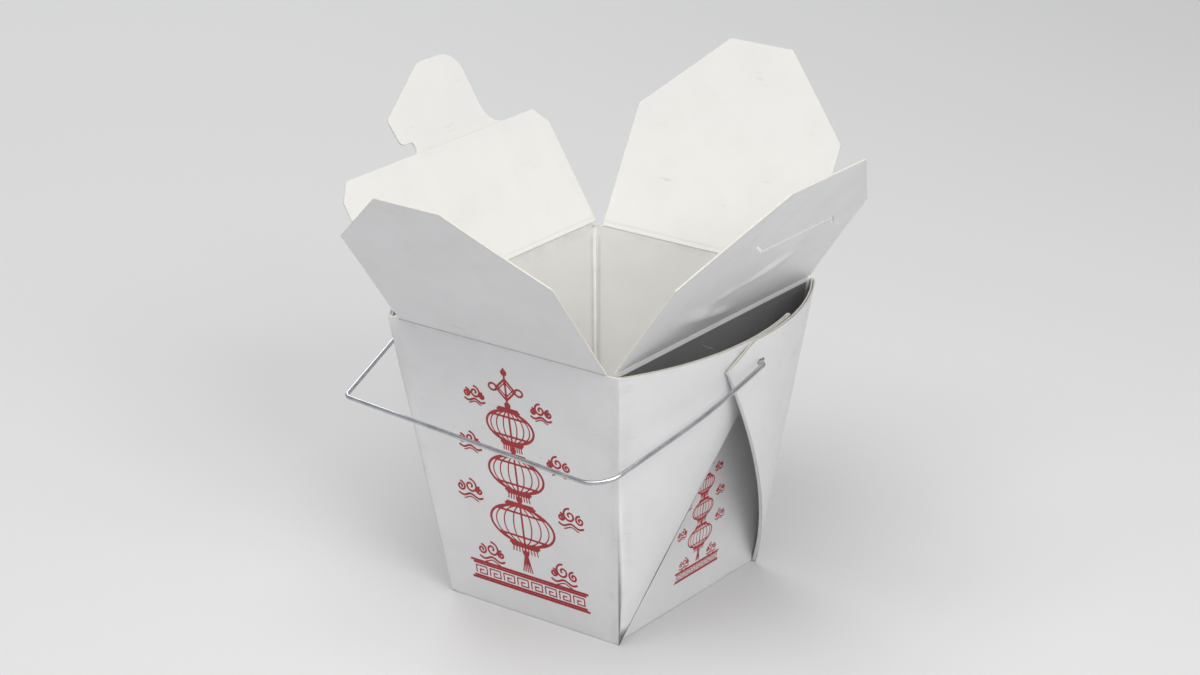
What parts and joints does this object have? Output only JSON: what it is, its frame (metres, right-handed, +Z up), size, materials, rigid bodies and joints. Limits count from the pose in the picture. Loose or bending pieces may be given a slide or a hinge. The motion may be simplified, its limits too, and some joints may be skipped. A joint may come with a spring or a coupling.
{
  "type": "takeout carton",
  "caption": "Folded paperboard takeout pail with bulging corner gussets, closing flaps standing open and a swinging wire handle.",
  "frame": {"origin": "middle of the underside of the base", "axes": "+Z up; -Y towards the front wall, where the handle hangs; +X towards the flap with the slit, -X towards the flap with the tab"},
  "size_m": [0.1431, 0.1605, 0.1406],
  "materials": {
    "coated_board": "semi-gloss coated paperboard",
    "handle_wire": "bright galvanised steel wire"
  },
  "bodies": {
    "carton_body": {"carton_body": "coated_board"},
    "front_flap": {"front_flap": "coated_board"},
    "back_flap": {"back_flap": "coated_board"},
    "slot_flap": {"slot_flap": "coated_board"},
    "tab_flap": {"tab_flap": "coated_board"},
    "wire_handle": {"wire_handle": "handle_wire"}
  },
  "joints": [
    {"name": "front_flap_crease", "type": "hinge", "parent": "carton_body", "child": "front_flap", "pos_m": [0, -0.04657, 0.08597], "axis": [1, 0, 0], "range_deg": [-126.8, 53.2]},
    {"name": "back_flap_crease", "type": "hinge", "parent": "carton_body", "child": "back_flap", "pos_m": [0, 0.04657, 0.08647], "axis": [-1, 0, 0], "range_deg": [-119, 61]},
    {"name": "slot_flap_crease", "type": "hinge", "parent": "carton_body", "child": "slot_flap", "pos_m": [0.03773, 0, 0.08697], "axis": [0, 1, 0], "range_deg": [-123.8, 56.2]},
    {"name": "tab_flap_crease", "type": "hinge", "parent": "carton_body", "child": "tab_flap", "pos_m": [-0.03773, 0, 0.08747], "axis": [0, -1, 0], "range_deg": [-113, 58.5]},
    {"name": "handle_swing", "type": "hinge", "parent": "carton_body", "child": "wire_handle", "pos_m": [0, 0, 0.0785], "axis": [1, 0, 0], "range_deg": [-32, 35.5]}
  ]
}
